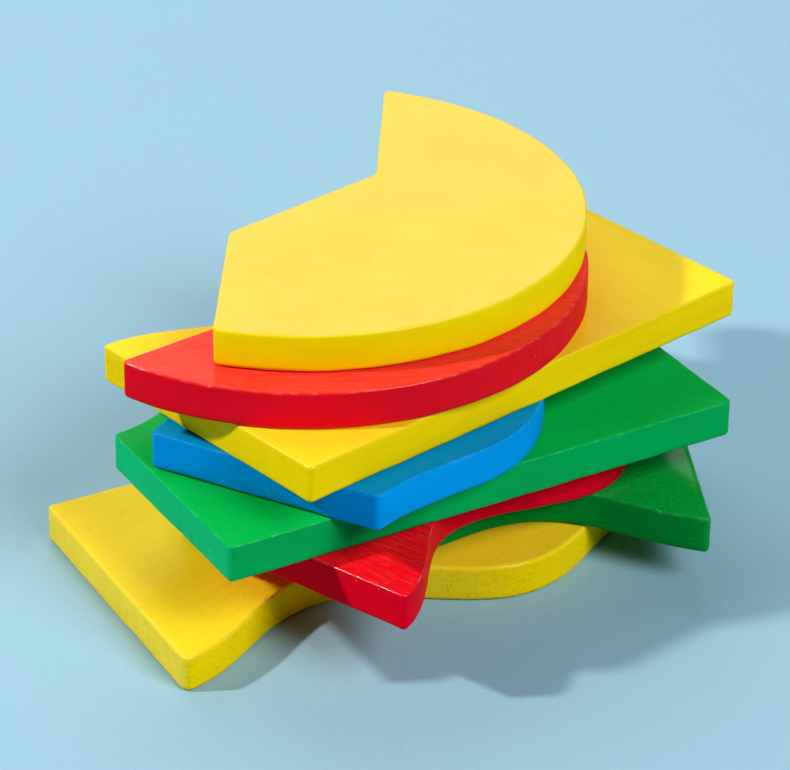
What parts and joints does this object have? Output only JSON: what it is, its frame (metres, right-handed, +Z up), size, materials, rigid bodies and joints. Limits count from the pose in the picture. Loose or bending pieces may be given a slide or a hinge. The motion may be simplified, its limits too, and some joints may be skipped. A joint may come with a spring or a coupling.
{
  "type": "wooden shape puzzle",
  "caption": "Pile of flat painted wooden puzzle boards: halves of squares sawn along a wave, and halves of a disc sawn along a step.",
  "frame": {"origin": "middle of the pile's footprint, on the surface it stands on", "axes": "+Z up through the pile, -Y towards the viewer, +X to the viewer's right"},
  "size_m": [0.1368, 0.1342, 0.0637],
  "materials": {
    "yellow_paint": "satin yellow paint on wood",
    "green_paint": "satin green paint on wood",
    "red_paint": "satin red paint on wood",
    "blue_paint": "satin blue paint on wood"
  },
  "bodies": {
    "yellow_bottom_board": {"half_square_yellow_bottom": "yellow_paint"},
    "green_lower_board": {"half_square_green_lower": "green_paint"},
    "red_wave_board": {"half_square_red": "red_paint"},
    "green_upper_board": {"half_square_green_upper": "green_paint"},
    "blue_board": {"half_square_blue": "blue_paint"},
    "yellow_upper_board": {"half_square_yellow_upper": "yellow_paint"},
    "red_disc_board": {"half_disc_red": "red_paint"},
    "yellow_top_board": {"half_disc_yellow_top": "yellow_paint"}
  },
  "joints": [
    {"name": "lift_green_lower", "type": "slide", "parent": "yellow_bottom_board", "child": "green_lower_board", "axis": [0, 0, 1], "range_m": [0, 0.03]},
    {"name": "lift_red_wave", "type": "slide", "parent": "green_lower_board", "child": "red_wave_board", "axis": [0, 0, 1], "range_m": [0, 0.03]},
    {"name": "lift_green_upper", "type": "slide", "parent": "red_wave_board", "child": "green_upper_board", "axis": [0, 0, 1], "range_m": [0, 0.03]},
    {"name": "lift_blue", "type": "slide", "parent": "green_upper_board", "child": "blue_board", "axis": [0, 0, 1], "range_m": [0, 0.03]},
    {"name": "lift_yellow_upper", "type": "slide", "parent": "blue_board", "child": "yellow_upper_board", "axis": [0, 0, 1], "range_m": [0, 0.03]},
    {"name": "lift_red_disc", "type": "slide", "parent": "yellow_upper_board", "child": "red_disc_board", "axis": [0, 0, 1], "range_m": [0, 0.03]},
    {"name": "lift_yellow_top", "type": "slide", "parent": "red_disc_board", "child": "yellow_top_board", "axis": [0, 0, 1], "range_m": [0, 0.03]}
  ]
}
